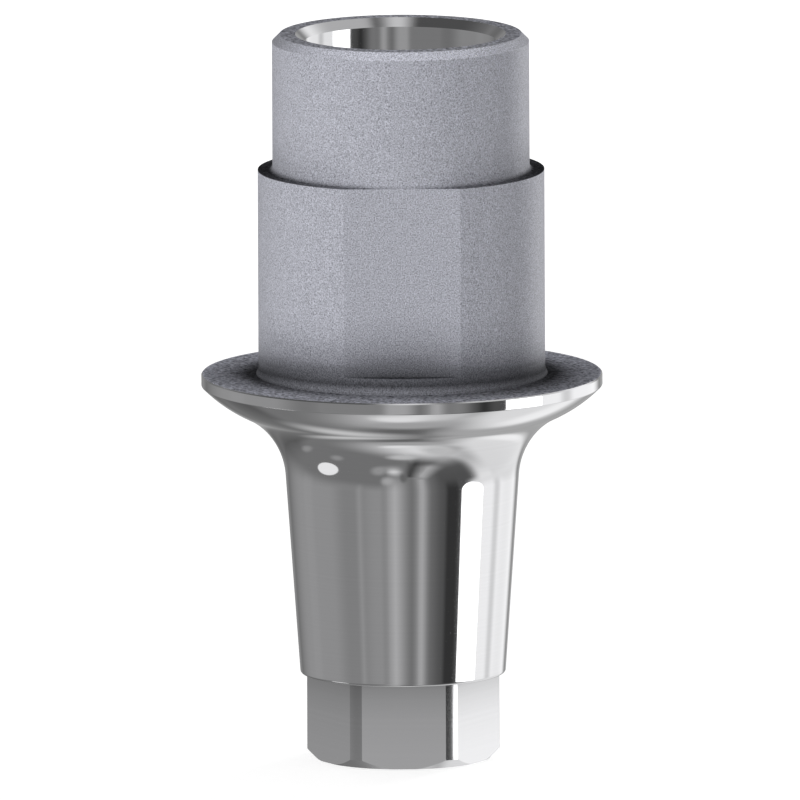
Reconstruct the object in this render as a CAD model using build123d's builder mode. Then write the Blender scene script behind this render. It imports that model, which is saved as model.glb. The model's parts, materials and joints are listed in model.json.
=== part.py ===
"""A one-piece titanium bonding base for a screw-retained dental crown.

Sizes are in millimetres.  The origin is the centre of the hexagon's end face, +Z runs up the
axis towards the mouth of the screw channel, and the flat on the bonding post faces -Y.
"""

import os
from math import radians, tan

from build123d import *

# Screw that the base is held down with
screw_head_diameter = 2.30
screw_head_clearance = 0.11
screw_shank_diameter = 1.60
screw_shank_clearance = 0.05
screw_seat_half_angle = 45.0
screw_seat_below_collar = 1.00

# Hexagonal index at the bottom
hex_sides = 6
hex_wall = 0.25
hex_corner_rise = 0.12
hex_length = 1.063
hex_lead_in_width = 0.11
hex_lead_in_length = 0.11
shank_hole_edge_break = 0.03

# Conical seat above the hexagon
cone_shoulder = 0.08
cone_length = 2.487
cone_half_angle = 4.05
cone_edge_round = 0.037

# Neck that flares from the cone to the collar
neck_height = 1.133
throat_radius = 0.92
underside_slope = 25.0

# Collar that the crown's edge rests on
collar_overhang = 0.717
collar_rim_height = 0.141
collar_edge_break = 0.015

# Bonding post: a chimney on a wider base cylinder
chimney_wall = 0.395
chimney_height = 1.704
chimney_foot_round = 0.055
chimney_top_chamfer = 0.095
channel_mouth_chamfer = 0.105
ledge_width = 0.183
base_height = 2.567
base_flare_width = 0.032
base_flare_height = 0.12

# Flat milled on one side of the base cylinder
flat_outside_chimney = 0.028
flat_above_collar = 0.20

# Radii that follow from the sizes above
channel_radius = (screw_head_diameter + screw_head_clearance) / 2
shank_hole_radius = (screw_shank_diameter + screw_shank_clearance) / 2
hex_flat_radius = shank_hole_radius + hex_wall
hex_corner_radius = hex_flat_radius + hex_corner_rise
cone_bottom_radius = hex_corner_radius + cone_shoulder
cone_top_radius = cone_bottom_radius + cone_length * tan(radians(cone_half_angle))
chimney_radius = channel_radius + chimney_wall
base_radius = chimney_radius + ledge_width
collar_radius = base_radius + collar_overhang

# Heights that follow from the sizes above
cone_top = hex_length + cone_length
rim_bottom = cone_top + neck_height
collar_top = rim_bottom + collar_rim_height
ledge_top = collar_top + base_height
post_top = ledge_top + chimney_height
seat_top = collar_top - screw_seat_below_collar
seat_drop = (channel_radius - shank_hole_radius) / tan(radians(screw_seat_half_angle))
seat_bottom = seat_top - seat_drop

# Half-plane that the round forms are drawn in: radius towards the flat's side, height up
section_plane = Plane.left

# Corners of the turned outline that are rounded or broken once it is drawn, as (radius, height)
cone_bottom_corner = (cone_bottom_radius, hex_length)
rim_lower_corner = (collar_radius, rim_bottom)
rim_upper_corner = (collar_radius, collar_top)
chimney_foot_corner = (chimney_radius, ledge_top)
chimney_top_corner = (chimney_radius, post_top)


def corner_at(sketch, point):
    """The outline's corner that lies at this radius and height."""
    return sketch.vertices().sort_by_distance(point).first


with BuildPart() as abutment:
    # Outside, turned in one piece with a round spigot for the hexagon
    with BuildSketch(section_plane) as turned:
        with BuildLine():
            spigot = Polyline(
                (0, 0),
                (hex_corner_radius - hex_lead_in_width, 0),
                (hex_corner_radius, hex_lead_in_length),
                (hex_corner_radius, hex_length),
                cone_bottom_corner,
            )
            cone = Line(spigot @ 1, (cone_top_radius, cone_top))
            throat_turn = 90 - cone_half_angle - underside_slope
            throat = JernArc(cone @ 1, cone % 1, throat_radius, -throat_turn)
            underside = TangentArc(throat @ 1, rim_lower_corner, tangent=throat % 1)
            collar = Polyline(
                underside @ 1,
                rim_upper_corner,
                (base_radius + base_flare_width, collar_top),
            )
            flare_end = (base_radius, collar_top + base_flare_height)
            flare = TangentArc(flare_end, collar @ 1, tangent=(0, -1))
            Polyline(
                flare @ 0,
                (base_radius, ledge_top),
                chimney_foot_corner,
                chimney_top_corner,
                (0, post_top),
                (0, 0),
            )
        make_face()
        fillet(corner_at(turned, cone_bottom_corner), cone_edge_round)
        fillet(corner_at(turned, rim_lower_corner), collar_edge_break)
        chamfer(corner_at(turned, rim_upper_corner), collar_edge_break)
        fillet(corner_at(turned, chimney_foot_corner), chimney_foot_round)
        chamfer(corner_at(turned, chimney_top_corner), chimney_top_chamfer)
    revolve(axis=Axis.Z)

    # Six flats milled on the spigot, which leave its round surface on the corners
    with BuildSketch(Plane.XY):
        Circle(cone_top_radius)
        RegularPolygon(hex_flat_radius, hex_sides, major_radius=False, mode=Mode.SUBTRACT)
    extrude(amount=hex_length, mode=Mode.SUBTRACT)

    # One flat milled down the base cylinder, which runs out above the ledge
    flat_distance = chimney_radius + flat_outside_chimney
    with BuildSketch(Plane.XY.offset(collar_top + flat_above_collar)):
        with Locations((0, -flat_distance)):
            Rectangle(2 * base_radius, base_radius, align=(Align.CENTER, Align.MAX))
    extrude(amount=base_height + chimney_height - flat_above_collar, mode=Mode.SUBTRACT)

    # Screw channel, with the conical seat for the screw's head and the hole for its shank
    with BuildSketch(section_plane):
        with BuildLine():
            Polyline(
                (0, 0),
                (shank_hole_radius + shank_hole_edge_break, 0),
                (shank_hole_radius, shank_hole_edge_break),
                (shank_hole_radius, seat_bottom),
                (channel_radius, seat_top),
                (channel_radius, post_top - channel_mouth_chamfer),
                (channel_radius + channel_mouth_chamfer, post_top),
                (0, post_top),
                close=True,
            )
        make_face()
    revolve(axis=Axis.Z, mode=Mode.SUBTRACT)

os.makedirs("parts", exist_ok=True)
abutment.part.label = "abutment"
export_step(abutment.part, "parts/abutment.step")
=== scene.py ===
import json
from collections import namedtuple
from math import acos, asin, atan2, cos, degrees, hypot, pi, radians, sin, tan

import bmesh
import bpy
from mathutils import Matrix, Vector


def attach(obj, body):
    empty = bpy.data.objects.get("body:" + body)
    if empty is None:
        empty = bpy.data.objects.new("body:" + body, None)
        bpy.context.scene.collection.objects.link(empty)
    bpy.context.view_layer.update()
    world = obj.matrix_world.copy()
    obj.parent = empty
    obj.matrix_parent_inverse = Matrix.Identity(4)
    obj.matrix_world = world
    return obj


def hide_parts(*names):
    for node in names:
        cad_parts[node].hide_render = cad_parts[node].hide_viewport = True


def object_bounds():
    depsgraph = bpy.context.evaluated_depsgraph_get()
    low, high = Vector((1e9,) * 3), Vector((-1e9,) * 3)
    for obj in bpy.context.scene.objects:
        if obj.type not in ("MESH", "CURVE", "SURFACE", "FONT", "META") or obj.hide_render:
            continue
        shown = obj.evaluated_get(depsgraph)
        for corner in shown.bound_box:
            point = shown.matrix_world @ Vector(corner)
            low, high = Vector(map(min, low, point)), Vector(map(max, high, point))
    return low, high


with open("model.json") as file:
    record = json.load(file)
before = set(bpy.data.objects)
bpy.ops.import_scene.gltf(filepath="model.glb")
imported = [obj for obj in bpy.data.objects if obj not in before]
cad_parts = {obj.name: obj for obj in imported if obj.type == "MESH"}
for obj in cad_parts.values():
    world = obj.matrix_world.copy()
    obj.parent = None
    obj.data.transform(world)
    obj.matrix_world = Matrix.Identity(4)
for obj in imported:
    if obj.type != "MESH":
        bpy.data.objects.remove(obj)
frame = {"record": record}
cad_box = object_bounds()

MM = 0.001
MOUNTS = {mount["name"]: mount for mount in frame["record"]["mounts"]}
Wall = namedtuple("Wall", "radius bottom top")


def round_wall(name):
    """Radius and height span, in metres, of the round wall that a mount of the part states."""
    mount = MOUNTS[name]
    half = mount["dims"]["length_mm"] * MM / 2
    middle = mount["pos_m"][2]
    return Wall(mount["dims"]["r_mm"] * MM, middle - half, middle + half)


# Sizes that the frame gives
CHANNEL = round_wall("screw_channel")
SCREW_HOLE = round_wall("screw_hole")
CHIMNEY = round_wall("post_chimney")
POST_BASE = round_wall("post_base")
POST_TOP = cad_box[1].z
COLLAR_RADIUS = cad_box[1].x
COLLAR_TOP = MOUNTS["crown_shoulder"]["pos_m"][2]
FLAT_DISTANCE = -MOUNTS["post_flat"]["pos_m"][1]

# Sizes that the frame doesn't give, as the part has them; slopes and turns are in degrees
HEX_SIDES = 6
HEX_SIDE_TURN = 360 / HEX_SIDES
HEX_FLAT_RADIUS = 1.075 * MM
HEX_CORNER_RADIUS = 1.195 * MM
HEX_END_RADIUS = 1.085 * MM
HEX_LEAD_IN = 0.11 * MM
HEX_LENGTH = 1.063 * MM
CONE_BOTTOM_RADIUS = 1.275 * MM
CONE_TOP = 3.55 * MM
CONE_SLOPE = 90 - 4.05
CONE_EDGE_ROUND = 0.037 * MM
THROAT_RADIUS = 0.92 * MM
THROAT_END_SLOPE = 25.0
RIM_BOTTOM = 4.683 * MM
RIM_BREAK = 0.015 * MM
FLARE_WIDTH = 0.032 * MM
FLAT_BOTTOM = COLLAR_TOP + 0.2 * MM

# Painted shade, which multiplies the colour: the share of the open light that reaches a face near a
# corner, by distance from the corner in mm.
# Where there are two shares, the first is for the part's left and right and the second for its front.
SHADE_BELOW_SHOULDER = [(0.0, 0.6), (0.06, 0.71), (0.2, 0.81), (0.45, 0.93), (0.9, 1.0)]
SHADE_ROUND_THE_POST = [
    (0.0, 0.06, 0.58), (0.1, 0.08, 0.54), (0.2, 0.24, 0.68), (0.32, 0.43, 0.86), (0.48, 0.6, 0.94),
    (0.63, 0.73, 1.0),
]
SHADE_ABOVE_COLLAR = [
    (0.0, 0.09, 0.32), (0.03, 0.16, 0.5), (0.07, 0.14, 0.34), (0.11, 0.09, 0.16), (0.19, 0.16, 0.28),
    (0.3, 0.35, 0.35), (0.4, 0.58, 0.58), (0.5, 0.68, 0.68), (0.7, 0.89, 0.89), (0.95, 1.0, 1.0),
]
SHADE_ABOVE_LEDGE = [
    (0.0, 0.06, 0.58), (0.016, 0.27, 0.75), (0.05, 0.64, 1.0), (0.11, 0.73, 1.0), (0.21, 0.79, 1.0),
    (0.41, 0.93, 1.0), (0.6, 1.0, 1.0),
]
# Painted light and shade on the top chamfer, lighter than its colour in front and behind, and painted
# shade on the top face, darker at the sides.
TOP_CHAMFER_LIGHT_AND_SHADE = [(0.0, 0.78, 1.52)]
TOP_FACE_SHADE = [(0.0, 0.8, 0.95)]

# How much the top chamfer's painted light grows on the right, how sharply its painted shade gathers
# at the sides, how much darker the painted shade round the post is on the front right and lighter
# elsewhere, and the distance from the post where that is so in full
CHAMFER_LEANS_RIGHT = 0.15
CHAMFER_SIDE_POWER = 2
SHADE_LEANS_RIGHT = 0.5
FULL_LEAN = 0.32 * MM

# How much sooner the painted shade above the collar ends at the sides, and on the right
SHORTER_AT_THE_SIDES = 0.5
SHORT_SIDE_POWER = 8
SHORTER_ON_THE_RIGHT = 0.35

# Painted shade of the step under the flat, how far the flat lifts the painted shade above it, and the
# widths of fine lines at edges, where the painted shade changes or the polished outline keeps its
# faces flat
STEP_SHADE = 0.16
FLAT_SHADE_RISE = 0.07 * MM
STEP_LINE = 0.016 * MM
EDGE_LINE = 0.004 * MM

# Material slots of the part, and the name under which its points hold their painted shade
POLISHED_SLOT, BLASTED_SLOT, CHANNEL_SLOT, HEXAGON_SLOT = range(4)
SHADE = "shade"

# Fineness of the turned mesh
TURN_STEPS = 360
LEAST_TURN_GAP = 0.2
THROAT_STEPS = 40
UNDERSIDE_STEPS = 16
CONE_EDGE_STEPS = 8
RIM_STEPS = 6
FLARE_STEPS = 10
CHIMNEY_FOOT_STEPS = 10
SHARP_ANGLE = 18.0
WELD_DISTANCE = 1e-8


# Outline of the part

def bend(start, slope, end_slope, radius, steps):
    """Points of an arc that starts at a point with one slope and ends with another, in degrees."""
    side = 1 if end_slope > slope else -1
    points = []
    for step in range(1, steps + 1):
        now = slope + (end_slope - slope) * step / steps
        across = side * radius * (sin(radians(now)) - sin(radians(slope)))
        up = side * radius * (cos(radians(slope)) - cos(radians(now)))
        points.append((start[0] + across, start[1] + up))
    return points


def bend_through(start, slope, end, steps):
    """Points of the arc that leaves a point with one slope and passes through another point."""
    chord = hypot(end[0] - start[0], end[1] - start[1])
    chord_slope = degrees(atan2(end[1] - start[1], end[0] - start[0]))
    turn = chord_slope - slope
    radius = chord / (2 * sin(radians(abs(turn))))
    return bend(start, slope, slope + 2 * turn, radius, steps), slope + 2 * turn


def mixed(low, high, share):
    """The value that lies a share of the way from one value to another."""
    return low + (high - low) * share


def shade_from(table, distance, beside=1.0):
    """Shade at a distance in metres: a table's entry, or a mix of the two entries it lies between."""
    reach = distance / MM
    entry = table[-1]
    for near, far in zip(table, table[1:]):
        if reach <= far[0]:
            share = max(0.0, reach - near[0]) / (far[0] - near[0])
            entry = [mixed(low, high, share) for low, high in zip(near, far)]
            break
    return mixed(entry[-1], entry[1], beside)


def moved(point, goal, distance):
    """The point that lies a distance from one point towards another."""
    share = distance / hypot(goal[0] - point[0], goal[1] - point[1])
    return mixed(point[0], goal[0], share), mixed(point[1], goal[1], share)


def flat_radius(distance, turn):
    """Distance from the axis to a flat, seen at an angle from the flat's middle."""
    return distance / cos(radians(turn))


def hex_radius(turn):
    """Radius of the hexagon with its round corners at one angle round the axis."""
    from_flat = (turn + HEX_SIDE_TURN / 2) % HEX_SIDE_TURN - HEX_SIDE_TURN / 2
    return min(HEX_CORNER_RADIUS, flat_radius(HEX_FLAT_RADIUS, from_flat))


def base_radius(turn):
    """Radius of the post's base cylinder, less its flat, at one angle round the axis."""
    if cos(radians(turn)) <= 0:
        return POST_BASE.radius
    return min(POST_BASE.radius, flat_radius(FLAT_DISTANCE, turn))


def hexagon_side(turn):
    """Milled outside of the hexagon, from its end up to the shoulder, with its painted shade, darker
    under the shoulder.
    """
    corner = hex_radius(turn)
    end = min(HEX_END_RADIUS, corner)
    lead_in = HEX_LEAD_IN * (corner - end) / (HEX_CORNER_RADIUS - HEX_END_RADIUS)
    outline = [(end, 0), (corner, lead_in)]
    outline += [(corner, HEX_LENGTH - down * MM) for down, _ in reversed(SHADE_BELOW_SHOULDER)]
    return [(r, z, shade_from(SHADE_BELOW_SHOULDER, HEX_LENGTH - z)) for r, z in outline]


def implant_side():
    """Polished outside from the cone's shoulder up to the collar's upper edge."""
    trim = CONE_EDGE_ROUND * tan(radians(CONE_SLOPE / 2))
    shoulder = (CONE_BOTTOM_RADIUS - trim, HEX_LENGTH)
    cone_height = CONE_TOP - HEX_LENGTH
    cone_top = (CONE_BOTTOM_RADIUS + cone_height / tan(radians(CONE_SLOPE)), CONE_TOP)
    throat = bend(cone_top, CONE_SLOPE, THROAT_END_SLOPE, THROAT_RADIUS, THROAT_STEPS)
    rim_corner = (COLLAR_RADIUS, RIM_BOTTOM)
    underside, rim_slope = bend_through(
        throat[-1], THROAT_END_SLOPE, rim_corner, UNDERSIDE_STEPS,
    )
    rim_trim = RIM_BREAK * tan(radians((90 - rim_slope) / 2))
    rim_start = (
        COLLAR_RADIUS - rim_trim * cos(radians(rim_slope)),
        RIM_BOTTOM - rim_trim * sin(radians(rim_slope)),
    )
    rim_end = (COLLAR_RADIUS, COLLAR_TOP - RIM_BREAK)
    shoulder_turn = bend(shoulder, 0, CONE_SLOPE, CONE_EDGE_ROUND, CONE_EDGE_STEPS)
    rim_turn = bend(rim_start, rim_slope, 90, RIM_BREAK, RIM_STEPS)
    outline = [
        shoulder,
        *shoulder_turn,
        moved(shoulder_turn[-1], cone_top, EDGE_LINE),
        moved(cone_top, shoulder_turn[-1], EDGE_LINE),
        cone_top,
        *throat,
        *underside[:-1],
        moved(rim_start, underside[-2], EDGE_LINE),
        rim_start,
        *rim_turn,
        moved(rim_turn[-1], rim_end, EDGE_LINE),
        rim_end,
        (COLLAR_RADIUS - RIM_BREAK, COLLAR_TOP),
    ]
    return [(r, z, 1.0) for r, z in outline]


def bonding_side(turn):
    """Blasted outside from the collar's top up over the post to its top face, with its painted shade
    and the painted light on its top chamfer.
    """
    flare_height = POST_BASE.bottom - COLLAR_TOP
    flare_radius = (flare_height ** 2 + FLARE_WIDTH ** 2) / (2 * FLARE_WIDTH)
    flare_slope = 90 + degrees(asin(flare_height / flare_radius))
    flare_foot = (POST_BASE.radius + FLARE_WIDTH, COLLAR_TOP)
    wall = base_radius(turn)
    ledge = POST_BASE.top
    foot_round = CHIMNEY.bottom - ledge
    cut_in = max(0.0, CHIMNEY.radius + foot_round - wall)
    foot_slope = 180 - degrees(asin(cut_in / foot_round))
    foot = (
        CHIMNEY.radius + foot_round - cut_in,
        ledge + foot_round * (1 + cos(radians(foot_slope))),
    )
    top_radius = CHIMNEY.radius - (POST_TOP - CHIMNEY.top)
    # Painted shade round the post: deeper at the left and right than in front and behind, deeper on
    # the front right, and ending sooner up the wall at the sides and on the right.
    beside = sin(radians(turn)) ** 2
    lean = SHADE_LEANS_RIGHT * abs(sin(radians(2 * turn))) * (1 if 0 < turn < 90 else -1)
    rightward = max(0.0, sin(radians(turn)))
    shorter = 1 + SHORTER_AT_THE_SIDES * beside ** SHORT_SIDE_POWER
    shorter += SHORTER_ON_THE_RIGHT * rightward * beside
    collar = []
    for out, *_ in reversed(SHADE_ROUND_THE_POST):
        leaning = max(0.0, beside + lean * min(1.0, out * MM / FULL_LEAN))
        shade = shade_from(SHADE_ROUND_THE_POST, out * MM, leaning)
        collar.append((flare_foot[0] + out * MM, COLLAR_TOP, shade))
    flare = [
        (r, z, shade_from(SHADE_ABOVE_COLLAR, (z - COLLAR_TOP) * shorter, beside))
        for r, z in bend(flare_foot, flare_slope, 90, flare_radius, FLARE_STEPS)
    ]
    flat_bottom = FLAT_BOTTOM - COLLAR_TOP
    # The flat's cut lifts the painted shade above it, and the step under it holds a dark painted
    # line.
    cut = (POST_BASE.radius - wall) / (POST_BASE.radius - FLAT_DISTANCE)
    rise = FLAT_SHADE_RISE * cut
    below_step = shade_from(SHADE_ABOVE_COLLAR, flat_bottom * shorter, beside)
    in_step = mixed(below_step, STEP_SHADE, cut)
    above_step = shade_from(SHADE_ABOVE_COLLAR, (flat_bottom - rise) * shorter, beside)
    base = [
        (wall, COLLAR_TOP + up * MM, shade_from(SHADE_ABOVE_COLLAR, (up * MM - rise) * shorter, beside))
        for up, *_ in SHADE_ABOVE_COLLAR if up * MM > flat_bottom
    ]
    base.append((wall, COLLAR_TOP + SHADE_ABOVE_COLLAR[-1][0] * MM + FLAT_SHADE_RISE, 1.0))
    # The painted shade at the chimney's foot fades where the ledge narrows under the flat.
    open_share = 1 - (wall - CHIMNEY.radius) / (POST_BASE.radius - CHIMNEY.radius)
    chimney_rings = [foot, *bend(foot, foot_slope, 90, foot_round, CHIMNEY_FOOT_STEPS)]
    chimney_rings += [
        (CHIMNEY.radius, ledge + up * MM) for up, *_ in SHADE_ABOVE_LEDGE if up * MM > foot_round
    ]
    chimney = [
        (r, z, mixed(shade_from(SHADE_ABOVE_LEDGE, z - ledge, beside), 1.0, open_share))
        for r, z in chimney_rings
    ]
    # Painted light and shade on the top chamfer: lighter than its colour in front and behind, darker
    # at the sides, and lighter on the right than on the left.
    chamfer_shade = shade_from(TOP_CHAMFER_LIGHT_AND_SHADE, 0.0, beside ** CHAMFER_SIDE_POWER)
    chamfer_shade *= 1 + CHAMFER_LEANS_RIGHT * sin(radians(turn))
    return [
        *collar,
        *flare,
        (POST_BASE.radius, FLAT_BOTTOM - EDGE_LINE, below_step),
        (POST_BASE.radius, FLAT_BOTTOM, in_step),
        (wall, FLAT_BOTTOM, in_step),
        (wall, FLAT_BOTTOM + STEP_LINE, above_step),
        *base,
        (wall, foot[1] - EDGE_LINE, 1.0),
        (wall, foot[1], chimney[0][2]),
        *chimney,
        (CHIMNEY.radius, CHIMNEY.top - EDGE_LINE, 1.0),
        (CHIMNEY.radius, CHIMNEY.top, chamfer_shade),
        (top_radius + EDGE_LINE, POST_TOP - EDGE_LINE, chamfer_shade),
        (top_radius, POST_TOP, shade_from(TOP_FACE_SHADE, 0.0, beside)),
    ]


def screw_side(turn):
    """Turned inside from the mouth of the channel down to the hexagon's end."""
    mouth_chamfer = POST_TOP - CHANNEL.top
    # The mouth's outer ring holds the top face's painted shade, darker at the sides.
    top_shade = shade_from(TOP_FACE_SHADE, 0.0, sin(radians(turn)) ** 2)
    outline = [
        (CHANNEL.radius + mouth_chamfer, POST_TOP),
        (CHANNEL.radius, CHANNEL.top),
        (CHANNEL.radius, CHANNEL.bottom),
        (SCREW_HOLE.radius, SCREW_HOLE.top),
        (SCREW_HOLE.radius, SCREW_HOLE.bottom),
        (SCREW_HOLE.radius + SCREW_HOLE.bottom, 0),
    ]
    return [(r, z, top_shade) for r, z in outline]


def turn_angles():
    """Angles round the axis, from the flat's middle, with one at each edge that a flat makes."""
    base_edge = degrees(acos(FLAT_DISTANCE / POST_BASE.radius))
    foot_edge = degrees(acos(FLAT_DISTANCE / (CHIMNEY.radius + CHIMNEY.bottom - POST_BASE.top)))
    corner_edge = degrees(acos(HEX_FLAT_RADIUS / HEX_CORNER_RADIUS))
    end_edge = degrees(acos(HEX_FLAT_RADIUS / HEX_END_RADIUS))
    edges = [-base_edge, -foot_edge, foot_edge, base_edge]
    for side in range(HEX_SIDES):
        middle = HEX_SIDE_TURN * side - 180
        edges += [middle + edge for edge in (-corner_edge, -end_edge, end_edge, corner_edge)]
    edges = [(edge + 180) % 360 - 180 for edge in edges]
    even = [360 * step / TURN_STEPS - 180 for step in range(TURN_STEPS)]
    kept = [turn for turn in even if min(abs(turn - edge) for edge in edges) > LEAST_TURN_GAP]
    return sorted(edges + kept)


def finish_rows():
    """The finish of each row of faces: the hexagon's, the polished, the blasted or the channel's."""
    rows = [HEXAGON_SLOT] * len(hexagon_side(0))
    rows += [POLISHED_SLOT] * (len(implant_side()) - 1)
    rows += [BLASTED_SLOT] * (len(bonding_side(0)) + 1)
    rows += [CHANNEL_SLOT] * (len(screw_side(0)) - 1)
    return rows + [HEXAGON_SLOT]


def turned_mesh(name):
    """The whole part as one closed skin, with the painted shade of each point and the finish of each
    face.
    """
    mesh = bmesh.new()
    shades = mesh.verts.layers.float.new(SHADE)
    columns = []
    for turn in turn_angles():
        outline = [*hexagon_side(turn), *implant_side(), *bonding_side(turn), *screw_side(turn)]
        column = []
        for r, z, shade in outline:
            point = mesh.verts.new((r * sin(radians(turn)), -r * cos(radians(turn)), z))
            point[shades] = shade
            column.append(point)
        columns.append(column)
    finishes = finish_rows()
    for here, there in zip(columns, columns[1:] + columns[:1]):
        for row, finish in enumerate(finishes):
            above = (row + 1) % len(finishes)
            face = mesh.faces.new((here[row], there[row], there[above], here[above]))
            face.material_index = finish
            face.smooth = True
    bmesh.ops.remove_doubles(mesh, verts=mesh.verts, dist=WELD_DISTANCE)
    bmesh.ops.dissolve_degenerate(mesh, edges=mesh.edges, dist=WELD_DISTANCE)
    bmesh.ops.recalc_face_normals(mesh, faces=mesh.faces)
    data = bpy.data.meshes.new(name)
    mesh.to_mesh(data)
    mesh.free()
    data.set_sharp_from_angle(angle=radians(SHARP_ANGLE))
    return data


# Shader nodes

# Places of a Mix node's inputs, which share their names
MIX_SHARE, MIX_FIRST, MIX_SECOND = 0, 2, 3
MIX_FIRST_COLOUR, MIX_SECOND_COLOUR, MIXED_COLOUR = 6, 7, 2


def place(tree, kind, settings, sockets):
    """Adds a node, sets its options, and sets or links its inputs."""
    made = tree.nodes.new(kind)
    for option, value in settings.items():
        setattr(made, option, value)
    for key, value in sockets.items():
        if isinstance(value, bpy.types.NodeSocket):
            tree.links.new(value, made.inputs[key])
        else:
            made.inputs[key].default_value = value
    return made


def maths(tree, operation, *values):
    """Output of a Math node."""
    return place(tree, "ShaderNodeMath", {"operation": operation}, dict(enumerate(values))).outputs[0]


def blended(tree, share, first, second):
    """A share of the way from the first value to the second."""
    sockets = {MIX_SHARE: share, MIX_FIRST: first, MIX_SECOND: second}
    return place(tree, "ShaderNodeMix", {}, sockets).outputs[0]


def new_group(name, inputs, output):
    """A shader node group with float or vector inputs and one output."""
    group = bpy.data.node_groups.new(name, "ShaderNodeTree")
    for socket, kind in inputs.items():
        group.interface.new_socket(socket, in_out="INPUT", socket_type=kind)
    group.interface.new_socket(output, in_out="OUTPUT", socket_type="NodeSocketFloat")
    enter = group.nodes.new("NodeGroupInput")
    leave = group.nodes.new("NodeGroupOutput")
    return group, enter.outputs, leave.inputs[0]


# Studio that the metal reflects

# Angles are in degrees. A floor panel is placed in shares of the floor's depth below the part.
Wall_panel = namedtuple("Wall_panel", "azimuth half_width edge low high fade brightness")
Floor_panel = namedtuple("Floor_panel", "across half_width edge near far fade brightness")
Lamp = namedtuple("Lamp", "azimuth elevation wide tall edge brightness")

STUDIO_BASE = 0.25
STUDIO = [
    Wall_panel(-95, 74, 4, -22.5, 25, 9, 0.42),
    Wall_panel(-111, 7, 4, -19, 25, 9, 0.445),
    Wall_panel(-54, 16, 11, -17, 25, 11, 0.27),
    Wall_panel(-45, 2, 4, -23, 25, 7, 0.44),
    Wall_panel(-154, 2, 31, -43, 25, 4, 0.05),
    Wall_panel(173, 12, 6, -32, 25, 4.5, 0.44),
    Wall_panel(116, 36, 9, -48, 60, 45, 1.4),
    Wall_panel(110, 30, 10, 35, 75, 12, 0.75),
    Wall_panel(110, 4.6, 4.2, -38, 25, 13, 0.98),
    Wall_panel(57, 24, 11, -70, 45, 39, 0.12),
    Wall_panel(52, 6.8, 3, -27, 45, 10, 0.05),
    Wall_panel(57, 5, 4, -12, 45, 3, 0.112),
    Wall_panel(19.4, 6.7, 4, -89, 60, 3, 0.375),
    Wall_panel(-8, 7, 11.5, -35, 60, 20, 0.66),
    Wall_panel(19.7, 3.2, 3.5, -37, 60, 2, 0.57),
    Wall_panel(-30, 21, 6, -12, 45, 3, 0.32),
    Wall_panel(32, 6, 6, -12, 45, 3, 0.31),
    Wall_panel(-1, 6, 6, -12, 45, 3, 0.55),
    Wall_panel(-95, 90, 15, 40, 90, 12, 0.13),
    Floor_panel(0.245, 0.15, 0.08, -1.14, 0.36, 0.09, 0.02),
    Floor_panel(0.383, 0.084, 0.23, -1.15, -0.46, 0.13, 0.745),
    Floor_panel(-0.152, 0.105, 0.10, -0.835, -0.787, 0.356, 1.58),
    Lamp(11, 80.9, 7.6, 9, 0.9, 0.97),
    Lamp(128, -80, 19, 13.6, 0.94, 1.09),
    Lamp(180, -56, 4.7, 9.8, 0.9, 0.18),
    Lamp(-172, -44.6, 5, 5.5, 0.95, 0.77),
    Lamp(135, -38, 26, 25, 0.22, 1.06),
    Lamp(75.2, -12.5, 13.3, 11.5, 0.04, 3.0),
    Wall_panel(112, 38, 8, -26, -20, 5, 1.12),
    Lamp(158, -39, 4.5, 8, 0.6, 1.25),
    Lamp(171, -38.7, 2.8, 12, 0.7, 0.52),
    Lamp(176, -66, 8, 5.5, 0.6, 0.53),
    Lamp(-176, -75.5, 5, 3.5, 0.6, 1.12),
    Lamp(114, -75, 9, 6, 0.6, 0.76),
    Lamp(0, -79, 7, 5, 0.6, 0.74),
    Lamp(-29, -51, 5.5, 7, 0.6, 0.44),
    Lamp(-16, -34, 5, 6, 0.7, 0.56),
    Lamp(1, -40, 3, 7, 0.6, 0.2),
    Lamp(-96, -56, 4.5, 3.2, 0.7, 0.41),
    Lamp(-135.5, -44.6, 4, 3.2, 0.7, 0.4),
    Lamp(-165, -20, 7, 5, 0.6, 0.18),
    Lamp(-89.6, -38.8, 10.8, 8, 0.06, 1.25),
]
DOME_HORIZON = 0.75
DOME_ZENITH = 0.2
LEAST_DROP = 0.001


def towards(azimuth, elevation):
    """The direction at an azimuth, in degrees from the front to the right, and an elevation."""
    turn, lift = radians(azimuth), radians(elevation)
    return Vector((sin(turn) * cos(lift), -cos(turn) * cos(lift), sin(lift)))


def smooth_fade(tree, value, start, end):
    """One up to start, falling smoothly to zero at end."""
    fade = place(
        tree, "ShaderNodeMapRange", {"interpolation_type": "SMOOTHSTEP"},
        {"Value": value, "From Min": start, "From Max": end, "To Min": 1.0, "To Max": 0.0},
    )
    return fade.outputs[0]


def painted(tree, out, behind, brightness, mask):
    """Sends out the brightness where the mask is one, and what was there before elsewhere."""
    tree.links.new(blended(tree, mask, behind, brightness), out)


def panel_group():
    """A soft-edged rectangle of light or dark, in angles on a wall or in distances on a floor."""
    names = [
        "Behind", "Across", "Along", "Middle", "Half width", "Edge", "Low", "High", "Fade",
        "Brightness",
    ]
    inputs = dict.fromkeys(names, "NodeSocketFloat")
    group, given, out = new_group("studio panel", inputs, "Brightness")
    off = maths(group, "SUBTRACT", given["Across"], given["Middle"])
    off = maths(group, "ABSOLUTE", maths(group, "WRAP", off, 180.0, -180.0))
    start = maths(group, "SUBTRACT", given["Half width"], given["Edge"])
    end = maths(group, "ADD", given["Half width"], given["Edge"])
    across = smooth_fade(group, off, start, end)
    above = maths(group, "SUBTRACT", given["Along"], given["High"])
    below = maths(group, "SUBTRACT", given["Low"], given["Along"])
    outside = maths(group, "MAXIMUM", above, below)
    inner = maths(group, "MULTIPLY", given["Fade"], -1.0)
    along = smooth_fade(group, outside, inner, given["Fade"])
    mask = maths(group, "MULTIPLY", across, along)
    painted(group, out, given["Behind"], given["Brightness"], mask)
    return group


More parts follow.
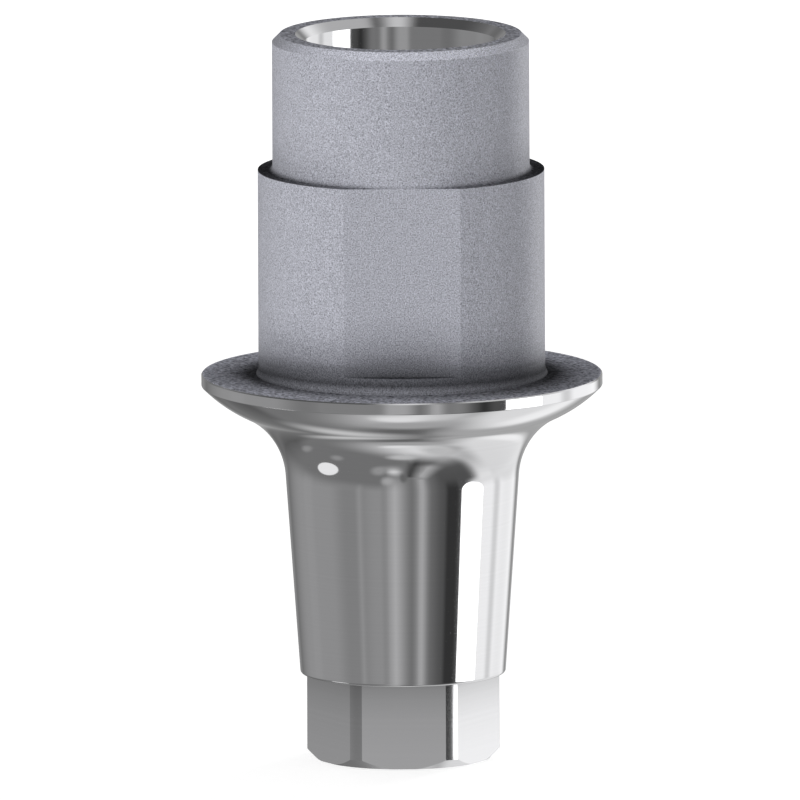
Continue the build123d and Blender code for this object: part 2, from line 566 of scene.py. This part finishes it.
def lamp_group():
    """A round or oval lamp: its two half-widths are given as sines of angles."""
    inputs = dict.fromkeys(["Behind", "Wide", "Tall", "Edge", "Brightness"], "NodeSocketFloat")
    inputs |= dict.fromkeys(["Direction", "Centre", "Sideways"], "NodeSocketVector")
    group, given, out = new_group("studio lamp", inputs, "Brightness")
    ahead, sideways = (
        place(
            group, "ShaderNodeVectorMath", {"operation": "DOT_PRODUCT"},
            {0: given["Direction"], 1: given[name]},
        ).outputs["Value"]
        for name in ("Centre", "Sideways")
    )
    rest = maths(group, "SUBTRACT", 1.0, maths(group, "MULTIPLY", ahead, ahead))
    rest = maths(group, "SUBTRACT", rest, maths(group, "MULTIPLY", sideways, sideways))
    upward = maths(group, "SQRT", maths(group, "MAXIMUM", rest, 0.0))
    across = maths(group, "DIVIDE", sideways, given["Wide"])
    along = maths(group, "DIVIDE", upward, given["Tall"])
    across = maths(group, "MULTIPLY", across, across)
    along = maths(group, "MULTIPLY", along, along)
    off = maths(group, "SQRT", maths(group, "ADD", across, along))
    start = maths(group, "SUBTRACT", 1.0, given["Edge"])
    end = maths(group, "ADD", 1.0, given["Edge"])
    front = maths(group, "GREATER_THAN", ahead, 0.0)
    mask = maths(group, "MULTIPLY", smooth_fade(group, off, start, end), front)
    painted(group, out, given["Behind"], given["Brightness"], mask)
    return group


def card_sockets(card, direction, on_wall, on_floor):
    """What a lamp's or a panel's node group is given, with the panels' grids of across and along."""
    if isinstance(card, Lamp):
        turn = radians(card.azimuth)
        return {
            "Direction": direction, "Centre": towards(card.azimuth, card.elevation),
            "Sideways": (cos(turn), sin(turn), 0.0), "Wide": sin(radians(card.wide)),
            "Tall": sin(radians(card.tall)), "Edge": card.edge, "Brightness": card.brightness,
        }
    across, along = on_wall if isinstance(card, Wall_panel) else on_floor
    middle, half_width, edge, low, high, fade, brightness = card
    return {
        "Across": across, "Along": along, "Middle": middle, "Half width": half_width,
        "Edge": edge, "Low": low, "High": high, "Fade": fade, "Brightness": brightness,
    }


def studio_world():
    """World whose reflections show a grey studio with panels and lamps, and whose light is soft."""
    world = bpy.data.worlds.new("studio")
    bpy.context.scene.world = world
    world.use_nodes = True
    tree = world.node_tree
    tree.nodes.clear()
    direction = tree.nodes.new("ShaderNodeTexCoord").outputs["Generated"]
    axis = place(tree, "ShaderNodeSeparateXYZ", {}, {0: direction}).outputs
    backward = maths(tree, "MULTIPLY", axis[1], -1.0)
    azimuth = maths(tree, "DEGREES", maths(tree, "ARCTAN2", axis[0], backward))
    elevation = maths(tree, "DEGREES", maths(tree, "ARCSINE", axis[2]))
    drop = maths(tree, "MAXIMUM", maths(tree, "MULTIPLY", axis[2], -1.0), LEAST_DROP)
    on_floor = maths(tree, "DIVIDE", axis[0], drop), maths(tree, "DIVIDE", axis[1], drop)
    panels = panel_group()
    lamps = lamp_group()
    studio = STUDIO_BASE
    for card in STUDIO:
        group = lamps if isinstance(card, Lamp) else panels
        sockets = card_sockets(card, direction, (azimuth, elevation), on_floor)
        sockets["Behind"] = studio
        studio = place(tree, "ShaderNodeGroup", {"node_tree": group}, sockets).outputs[0]
    height = maths(tree, "ABSOLUTE", axis[2])
    dome = blended(tree, height, DOME_HORIZON, DOME_ZENITH)
    path = tree.nodes.new("ShaderNodeLightPath").outputs
    seen = blended(tree, path["Is Glossy Ray"], dome, studio)
    seen = blended(tree, path["Is Camera Ray"], seen, 1.0)
    background = place(tree, "ShaderNodeBackground", {}, {"Color": seen, "Strength": 1.0})
    output = tree.nodes.new("ShaderNodeOutputWorld")
    tree.links.new(background.outputs[0], output.inputs[0])
    world.cycles.sampling_method = "NONE"


Soft_lamp = namedtuple("Soft_lamp", "name azimuth size light")

SOFT_LAMPS = [
    Soft_lamp("key lamp", -38, 20 * MM, 0.46),
    Soft_lamp("right edge lamp", 145, 15 * MM, 0.45),
    Soft_lamp("left edge lamp", -158, 15 * MM, 0.22),
]
SOFT_LAMP_ELEVATION = 4
SOFT_LAMP_DISTANCE = 100 * MM


def add_soft_lamps():
    """Large square lamps beside the part, which light its matt faces and show in no reflection."""
    for soft in SOFT_LAMPS:
        out = towards(soft.azimuth, SOFT_LAMP_ELEVATION)
        data = bpy.data.lights.new(soft.name, "AREA")
        data.size = soft.size
        data.energy = soft.light * (pi * SOFT_LAMP_DISTANCE) ** 2
        lamp = bpy.data.objects.new(soft.name, data)
        bpy.context.scene.collection.objects.link(lamp)
        lamp.location = out * SOFT_LAMP_DISTANCE + Vector((0, 0, POST_TOP / 2))
        lamp.rotation_euler = out.to_track_quat("Z", "Y").to_euler()
        lamp.visible_glossy = False
        lamp.visible_camera = False


# Finishes

# The last field says whether the finish's colour takes the painted shade that the mesh's points hold.
Machined = namedtuple("Machined", "name colour lines_per_metre roughness depth shaded")

POLISHED = Machined("polished titanium", (0.615, 0.615, 0.625, 1.0), 30000.0, 0.035, 2e-8, False)
CHANNEL_FINISH = Machined("channel titanium", (0.53, 0.53, 0.54, 1.0), 25000.0, 0.06, 3e-8, False)
# The hexagon's colour takes the painted shade under the cone's shoulder.
HEXAGON_FINISH = Machined("hexagon titanium", (0.615, 0.615, 0.625, 1.0), 25000.0, 0.1, 3e-8, True)
LINE_TONE = 0.04
LEAST_LINE_TONE = 0.98
LINE_ROUGHNESS = 0.03

BLASTED_COLOUR = (0.494, 0.501, 0.562, 1.0)
FINE_GRAINS_PER_METRE = 62600.0
FINE_CONTRAST, FINE_LEAST = 1.9, 0.05
COARSE_GRAINS_PER_METRE = 26000.0
COARSE_CONTRAST, COARSE_LEAST = 3.0, -0.5
COARSE_FROM, COARSE_IN_FULL = 0.75, 0.98
SPECKS_PER_METRE = 60000.0
SPECK_FROM, SPECK_IN_FULL = 0.58, 0.72
SPECK_METAL, MATT_METAL = 0.3, 0.03
SPECK_SMOOTHING, MATT_ROUGHNESS = -0.2, 0.62
GRAZING_ROUGHNESS = 0.35
GRAIN_DEPTH = 0.012 * MM

FLOOR_RADIUS = 0.3
FLOOR_EDGES = 128
FLOOR_COLOUR = (0.8, 0.8, 0.8, 1.0)
FLOOR_ROUGHNESS = 0.9
FLOOR_GLOW = 0.66


def new_material(name):
    """A material with its Principled shader and object coordinates."""
    material = bpy.data.materials.new(name)
    material.use_nodes = True
    tree = material.node_tree
    shader = tree.nodes["Principled BSDF"]
    spot = tree.nodes.new("ShaderNodeTexCoord").outputs["Object"]
    return material, tree, shader, spot


def shade_colour(tree, colour, tone):
    """The colour times a tone, sent from a Mix node."""
    return place(
        tree, "ShaderNodeMix", {"data_type": "RGBA", "blend_type": "MULTIPLY"},
        {MIX_SHARE: 1.0, MIX_FIRST_COLOUR: colour, MIX_SECOND_COLOUR: tone},
    ).outputs[MIXED_COLOUR]


def stored_shade(tree):
    """The painted shade that the mesh's points hold, which multiplies the colour."""
    return place(tree, "ShaderNodeAttribute", {"attribute_name": SHADE}, {}).outputs["Fac"]


def noise(tree, spot, scale, detail, roughness=0.5):
    """Noise from 0 to 1 at a place, with so many waves a metre."""
    sockets = {"Vector": spot, "Scale": scale, "Detail": detail, "Roughness": roughness}
    return place(tree, "ShaderNodeTexNoise", {}, sockets).outputs["Fac"]


def blasted_titanium():
    """Grit-blasted titanium: a matt grain, coarser on level faces, with a few bright specks.

    Painted shade that the mesh's points hold darkens it in the corners, round the post and on the top
    face, and painted light makes the top chamfer's front lighter than its colour; its walls gleam a
    little where they are seen at a low angle.
    """
    material, tree, shader, spot = new_material("blasted titanium")
    grain = noise(tree, spot, FINE_GRAINS_PER_METRE, 1.0)
    coarse = noise(tree, spot, COARSE_GRAINS_PER_METRE, 1.0, 0.6)
    speck = noise(tree, spot, SPECKS_PER_METRE, 0.0)
    speck = maths(tree, "SUBTRACT", 1.0, smooth_fade(tree, speck, SPECK_FROM, SPECK_IN_FULL))
    normal = tree.nodes.new("ShaderNodeTexCoord").outputs["Normal"]
    upward = place(tree, "ShaderNodeSeparateXYZ", {}, {0: normal}).outputs[2]
    steep = smooth_fade(tree, upward, COARSE_FROM, COARSE_IN_FULL)
    fine_tone = maths(tree, "MULTIPLY_ADD", grain, FINE_CONTRAST, FINE_LEAST)
    coarse_tone = maths(tree, "MULTIPLY_ADD", coarse, COARSE_CONTRAST, COARSE_LEAST)
    shade = stored_shade(tree)
    # The tone carries the grain and the painted shade that the mesh's points hold.
    tone = maths(tree, "MULTIPLY", blended(tree, steep, coarse_tone, fine_tone), shade)
    metal = maths(tree, "MULTIPLY_ADD", speck, SPECK_METAL, MATT_METAL)
    roughness = maths(tree, "MULTIPLY_ADD", speck, SPECK_SMOOTHING, MATT_ROUGHNESS)
    grazing = tree.nodes.new("ShaderNodeLayerWeight").outputs["Facing"]
    gleam = maths(tree, "MULTIPLY", maths(tree, "MULTIPLY", steep, shade), grazing)
    bump = place(
        tree, "ShaderNodeBump", {}, {"Strength": 1.0, "Distance": GRAIN_DEPTH, "Height": grain},
    )
    tree.links.new(shade_colour(tree, BLASTED_COLOUR, tone), shader.inputs["Base Color"])
    tree.links.new(metal, shader.inputs["Metallic"])
    tree.links.new(roughness, shader.inputs["Roughness"])
    tree.links.new(gleam, shader.inputs["Coat Weight"])
    tree.links.new(bump.outputs[0], shader.inputs["Normal"])
    shader.inputs["Coat Roughness"].default_value = GRAZING_ROUGHNESS
    shader.inputs["Specular IOR Level"].default_value = 0.0
    return material


def turning_lines_group():
    """Fine rings left by the tool, as heights from 0 to 1 up the axis."""
    inputs = {"Position": "NodeSocketVector", "Lines per metre": "NodeSocketFloat"}
    group, given, out = new_group("turning lines", inputs, "Lines")
    axis = place(group, "ShaderNodeSeparateXYZ", {}, {0: given["Position"]}).outputs
    rings = place(
        group, "ShaderNodeTexNoise", {"noise_dimensions": "1D"},
        {"W": axis[2], "Scale": given["Lines per metre"], "Detail": 1.0},
    )
    group.links.new(rings.outputs["Fac"], out)
    return group


def machined_titanium(finish):
    """Bare titanium with the tool's fine lines in its tone, its gloss and its relief."""
    material, tree, shader, spot = new_material(finish.name)
    group = bpy.data.node_groups.get("turning lines") or turning_lines_group()
    lines = place(
        tree, "ShaderNodeGroup", {"node_tree": group},
        {"Position": spot, "Lines per metre": finish.lines_per_metre},
    ).outputs["Lines"]
    tone = maths(tree, "MULTIPLY_ADD", lines, LINE_TONE, LEAST_LINE_TONE)
    # On the hexagon the tone also takes the painted shade that the mesh's points hold, darker under
    # the shoulder.
    if finish.shaded:
        tone = maths(tree, "MULTIPLY", tone, stored_shade(tree))
    roughness = maths(tree, "MULTIPLY_ADD", lines, LINE_ROUGHNESS, finish.roughness)
    bump = place(
        tree, "ShaderNodeBump", {}, {"Strength": 1.0, "Distance": finish.depth, "Height": lines},
    )
    tree.links.new(shade_colour(tree, finish.colour, tone), shader.inputs["Base Color"])
    tree.links.new(roughness, shader.inputs["Roughness"])
    tree.links.new(bump.outputs[0], shader.inputs["Normal"])
    shader.inputs["Metallic"].default_value = 1.0
    return material


def white_floor():
    """Pale floor that the camera sees as white, with the object's shadow on it."""
    material = bpy.data.materials.new("pale floor")
    material.use_nodes = True
    tree = material.node_tree
    shader = tree.nodes["Principled BSDF"]
    shader.inputs["Base Color"].default_value = FLOOR_COLOUR
    shader.inputs["Roughness"].default_value = FLOOR_ROUGHNESS
    glow = tree.nodes.new("ShaderNodeEmission")
    both = tree.nodes.new("ShaderNodeAddShader")
    path = tree.nodes.new("ShaderNodeLightPath").outputs
    shown = maths(tree, "MULTIPLY", path["Is Camera Ray"], FLOOR_GLOW)
    tree.links.new(shown, glow.inputs["Strength"])
    tree.links.new(shader.outputs[0], both.inputs[0])
    tree.links.new(glow.outputs[0], both.inputs[1])
    tree.links.new(both.outputs[0], tree.nodes["Material Output"].inputs["Surface"])
    return material


def make_abutment():
    """The visible part, which stands for the CAD node and isn't mirrored in its own faces."""
    data = turned_mesh("abutment_finish")
    piece = bpy.data.objects.new("abutment_finish", data)
    bpy.context.scene.collection.objects.link(piece)
    data.materials.append(machined_titanium(POLISHED))
    data.materials.append(blasted_titanium())
    data.materials.append(machined_titanium(CHANNEL_FINISH))
    data.materials.append(machined_titanium(HEXAGON_FINISH))
    normals = piece.modifiers.new("true normals", "WEIGHTED_NORMAL")
    normals.keep_sharp = True
    piece.visible_glossy = False
    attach(piece, "root")
    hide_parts("abutment")


def make_floor():
    """A round pale floor under the part."""
    bpy.ops.mesh.primitive_circle_add(
        vertices=FLOOR_EDGES, radius=FLOOR_RADIUS, fill_type="NGON",
    )
    floor = bpy.context.object
    floor.name = "floor"
    floor.data.materials.append(white_floor())
    floor.visible_glossy = False


# Camera, from where the photograph was taken

PHOTO_SIDE = 800
MM_PER_PIXEL = 0.012435
CAMERA_AZIMUTH = -0.37
CAMERA_ELEVATION = 8.95
CAMERA_ROLL = 0.235
CAMERA_DISTANCE = 300 * MM
COLLAR_AT_PIXEL = (401.88, 372.75)


def make_camera():
    """Parallel camera that puts the middle of the collar's top at its place in the photograph."""
    roll = radians(CAMERA_ROLL)
    back = towards(CAMERA_AZIMUTH, CAMERA_ELEVATION)
    level = Vector((0, 0, 1)).cross(back).normalized()
    rise = back.cross(level)
    right = level * cos(roll) - rise * sin(roll)
    up = rise * cos(roll) + level * sin(roll)
    pixel = MM_PER_PIXEL * MM
    across = (PHOTO_SIDE / 2 - COLLAR_AT_PIXEL[0]) * pixel
    down = (PHOTO_SIDE / 2 - COLLAR_AT_PIXEL[1]) * pixel
    aim = Vector((0, 0, COLLAR_TOP)) + right * across - up * down
    data = bpy.data.cameras.new("camera")
    data.type = "ORTHO"
    data.ortho_scale = PHOTO_SIDE * pixel
    camera = bpy.data.objects.new("camera", data)
    bpy.context.scene.collection.objects.link(camera)
    rotation = Matrix((right, up, back)).transposed().to_4x4()
    camera.matrix_world = Matrix.Translation(aim + back * CAMERA_DISTANCE) @ rotation
    bpy.context.scene.camera = camera


bpy.context.scene.view_settings.view_transform = "Standard"
make_camera()
make_abutment()
make_floor()
add_soft_lamps()
studio_world()
